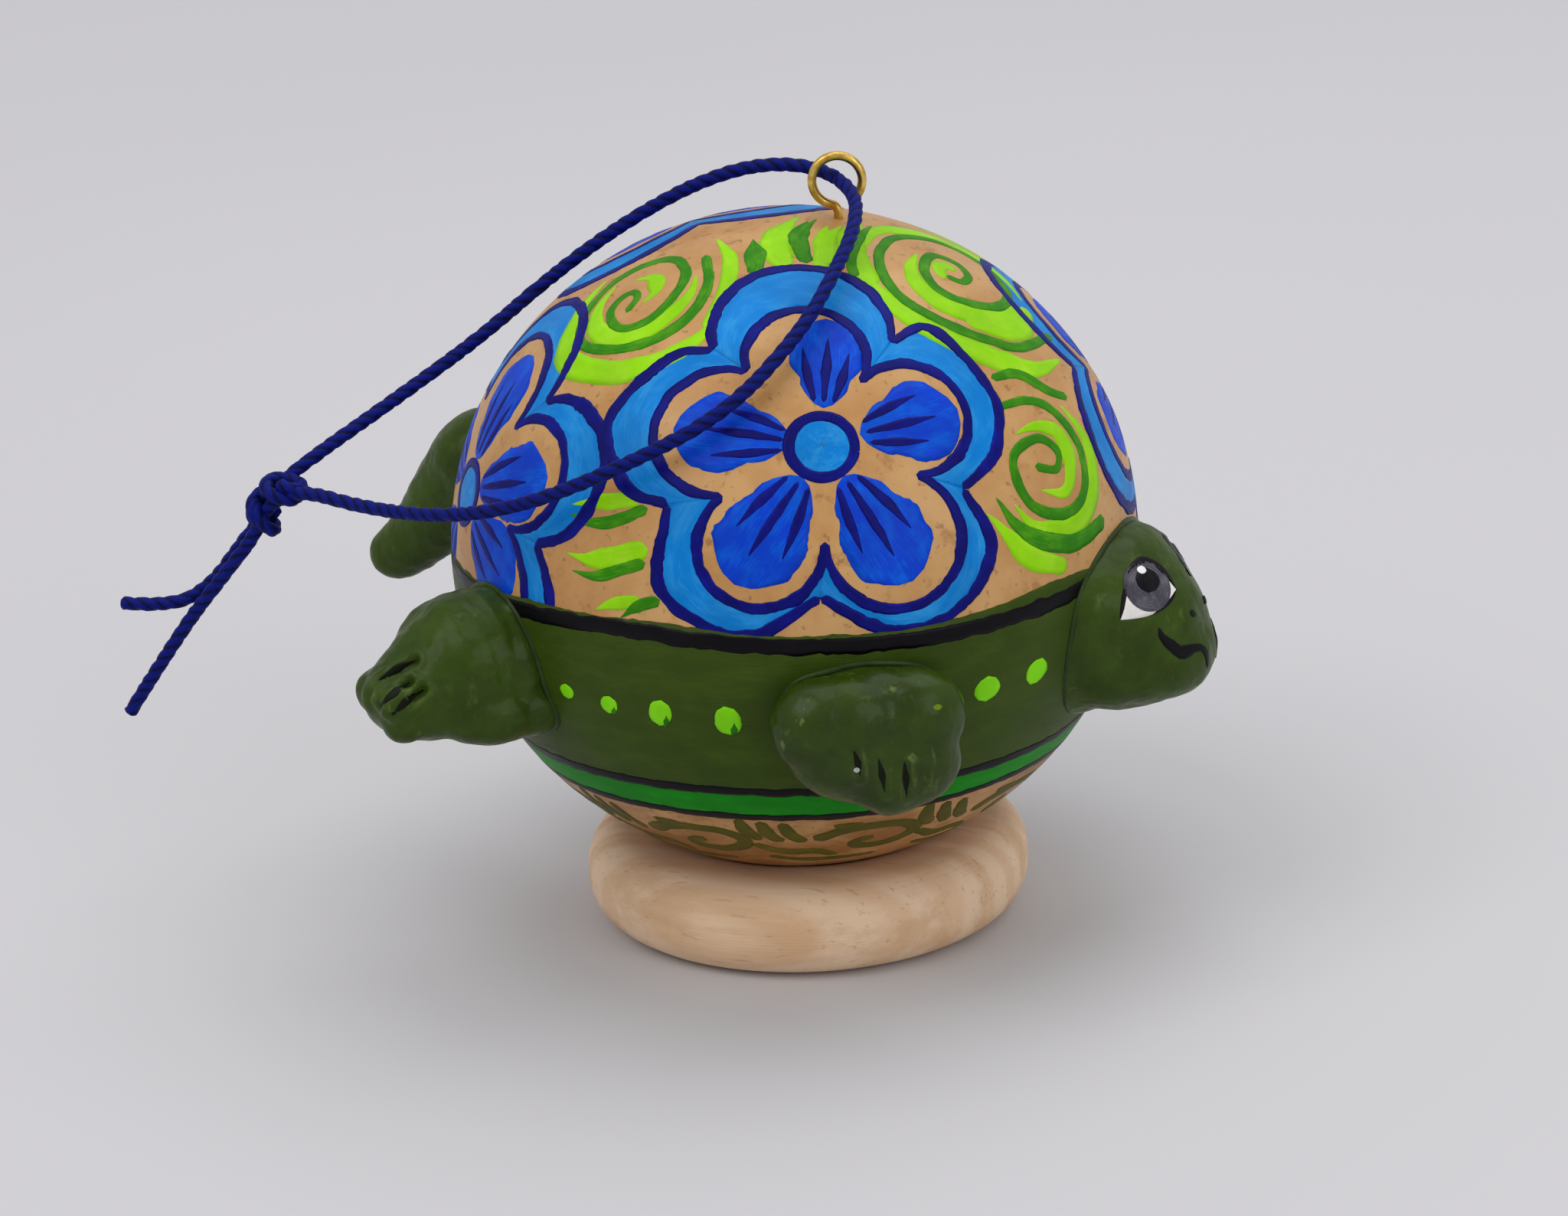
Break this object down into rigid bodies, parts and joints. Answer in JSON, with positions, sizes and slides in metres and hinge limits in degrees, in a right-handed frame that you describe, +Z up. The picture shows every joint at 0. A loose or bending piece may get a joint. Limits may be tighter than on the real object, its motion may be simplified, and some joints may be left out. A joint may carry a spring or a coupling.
{
  "type": "painted gourd turtle ornament on ring stand",
  "caption": "Round hand-painted gourd turtle with glued-on head, legs and tail, a brass screw eye and knotted hanging cord, resting on a turned wooden ring stand",
  "frame": {"origin": "centre of the ring stand's underside, on the surface it stands on", "axes": "+X towards the head, +Z up, +Y to the turtle's left"},
  "size_m": [0.1093, 0.082, 0.0799],
  "materials": {
    "painted_gourd": "dried gourd rind with painted flowers and bands, satin varnish",
    "painted_clay": "hardened modelling clay painted olive green, satin",
    "ring_wood": "bare turned pale hardwood, sanded",
    "brass_wire": "bright wire",
    "waxed_cord": "twisted waxed cord, deep blue",
    "seed_hull": "dry matt seed hull",
    "glue": "hardened craft glue"
  },
  "bodies": {
    "stand": {"ring_stand": "ring_wood"},
    "figure": {"gourd_shell": "painted_gourd", "screw_eye": "brass_wire", "head": "painted_clay", "tail": "painted_clay", "leg_front_right": "painted_clay", "leg_front_left": "painted_clay", "leg_rear_right": "painted_clay", "leg_rear_left": "painted_clay", "head_glue": "glue", "tail_glue": "glue", "leg_front_right_glue": "glue", "leg_front_left_glue": "glue", "leg_rear_right_glue": "glue", "leg_rear_left_glue": "glue"},
    "seeds": {"dried_seeds": "seed_hull"},
    "cord": {"cord_front_half": "waxed_cord", "cord_back_half": "waxed_cord", "cord_knot": "waxed_cord"}
  },
  "joints": [
    {"name": "figure_lift", "type": "slide", "parent": "stand", "child": "figure", "axis": [0, 0, 1], "range_m": [0, 0.03]},
    {"name": "seeds_roll", "type": "hinge", "parent": "figure", "child": "seeds", "pos_m": [0, 0, 0.04], "axis": [0, 1, 0], "range_deg": [-30, 30]},
    {"name": "cord_swing", "type": "hinge", "parent": "figure", "child": "cord", "pos_m": [0.0055, 0.0017, 0.077], "axis": [-0.3746, 0.9272, 0], "range_deg": [0, 118]}
  ]
}
